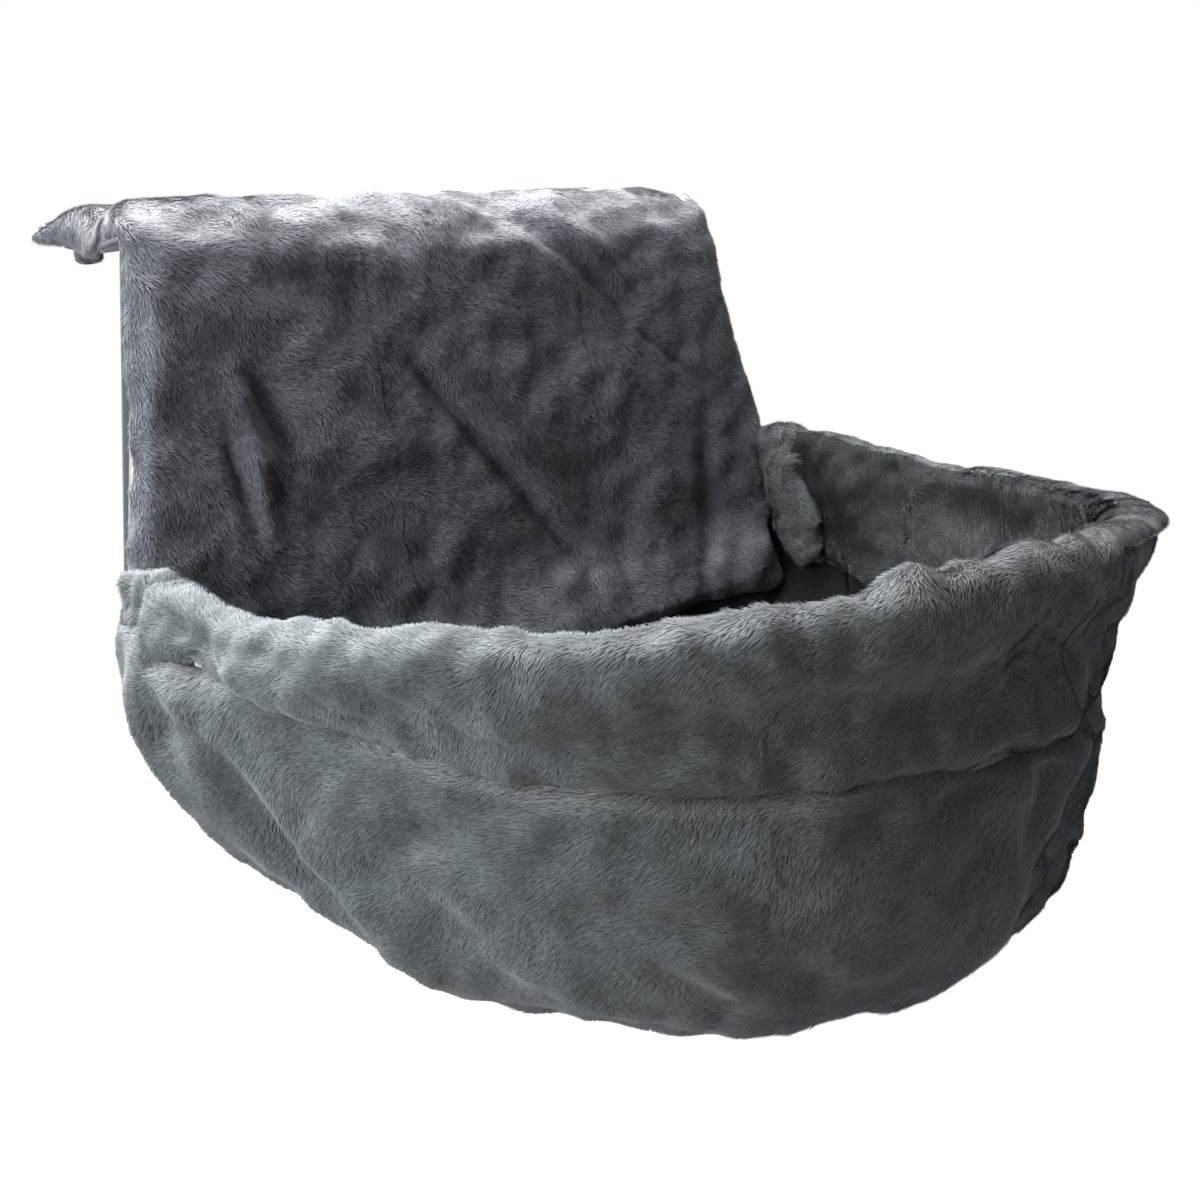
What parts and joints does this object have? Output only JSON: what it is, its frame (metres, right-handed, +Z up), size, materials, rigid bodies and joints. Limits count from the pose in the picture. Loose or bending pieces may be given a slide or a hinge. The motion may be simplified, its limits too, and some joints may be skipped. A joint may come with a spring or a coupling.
{
  "type": "radiator cat bed",
  "caption": "Plush pet bed that hangs over a radiator: padded back panel and top flap on steel hooks, deep pouch on a D-shaped hoop that folds up.",
  "frame": {"origin": "middle of the top flap's underside, where it rests on the radiator's top", "axes": "+Z up, +Y towards the radiator and the wall, -Y the bed's front, +X to the right seen from the front"},
  "size_m": [0.4654, 0.4663, 0.3993],
  "materials": {
    "plush": "short pile polyester plush, slate grey",
    "lining": "woven polyester backing cloth, dark grey",
    "wadding": "polyester wadding",
    "zip_tape": "woven zip tape with nylon coil",
    "steel": "zinc plated drawn wire",
    "zinc": "die cast zinc, dark enamel",
    "nylon": "natural nylon",
    "rubber": "soft vinyl cap"
  },
  "bodies": {
    "hanger": {"hook_rod_left": "steel", "hook_rod_right": "steel", "upper_cross_rod": "steel", "lower_cross_rod": "steel", "hook_cap_left": "rubber", "hook_cap_right": "rubber", "hinge_bracket_left": "steel", "hinge_bracket_right": "steel", "hinge_rivet_left": "steel", "hinge_rivet_right": "steel", "hinge_washer_left_inner": "nylon", "hinge_washer_left_outer": "nylon", "hinge_washer_right_inner": "nylon", "hinge_washer_right_outer": "nylon", "back_panel_plush": "plush", "panel_padding": "wadding", "back_lining": "lining", "hook_pocket_left": "plush", "hook_pocket_right": "plush", "zip_tape_upper": "zip_tape", "zip_tape_lower": "zip_tape", "zip_stop_left": "zinc", "zip_stop_right": "zinc"},
    "hoop": {"hoop_rod": "steel", "rim_band": "plush", "pouch_outer": "plush", "pouch_padding": "wadding", "pouch_lining": "plush"},
    "slider": {"zip_slider": "zinc"},
    "pull": {"zip_pull": "zinc"}
  },
  "joints": [
    {"name": "frame_fold", "type": "hinge", "parent": "hanger", "child": "hoop", "pos_m": [0, -0.071, -0.1617], "axis": [-1, 0, 0], "range_deg": [0, 88]},
    {"name": "zip_slide", "type": "slide", "parent": "hanger", "child": "slider", "axis": [1, 0, 0], "range_m": [-0.2815, 0]},
    {"name": "pull_swing", "type": "hinge", "parent": "slider", "child": "pull", "pos_m": [0.1409, -0.039, -0.2017], "axis": [1, 0, 0], "range_deg": [0, 150]}
  ]
}
